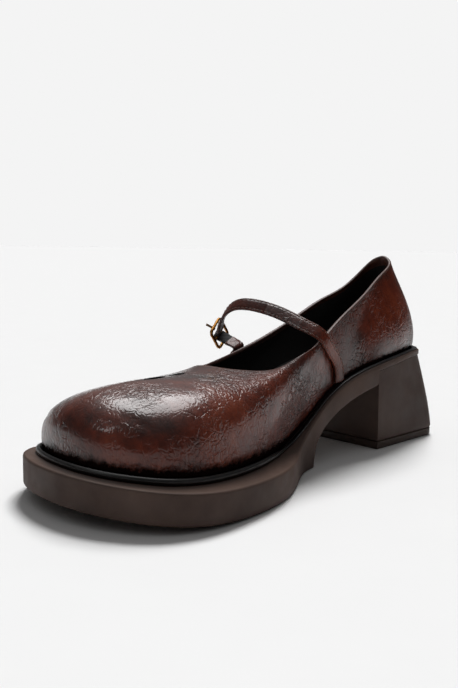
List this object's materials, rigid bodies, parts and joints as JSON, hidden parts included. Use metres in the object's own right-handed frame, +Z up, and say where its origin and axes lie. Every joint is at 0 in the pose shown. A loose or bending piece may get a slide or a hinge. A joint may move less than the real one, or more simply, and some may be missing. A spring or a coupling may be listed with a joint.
{
  "type": "shoe",
  "caption": "Right mary jane shoe with a rounded toe, low vamp, platform sole, block heel and a buckled strap over the instep.",
  "frame": {"origin": "middle of the heel's base, on the floor", "axes": "+Z up; the toe points to -Y and the back of the heel to +Y; +X is the inner side of the right foot, -X the outer side with the buckle"},
  "size_m": [0.1082, 0.2591, 0.107],
  "materials": {
    "upper_leather": "crinkled patent, dark reddish brown, glossy",
    "sole_rubber": "moulded, matte dark brown",
    "bead_black": "extruded, glossy black",
    "sock_black": "matte black sock and lining",
    "elastic_black": "woven black elastic",
    "buckle_brass": "antiqued, semi-bright"
  },
  "bodies": {
    "root": {"upper": "upper_leather", "strap": "upper_leather", "outsole": "sole_rubber", "heel_block": "sole_rubber", "heel_tip": "sole_rubber", "welt": "bead_black", "insole": "sock_black", "tab": "elastic_black", "buckle_frame": "buckle_brass", "buckle_prong": "buckle_brass"}
  },
  "joints": []
}
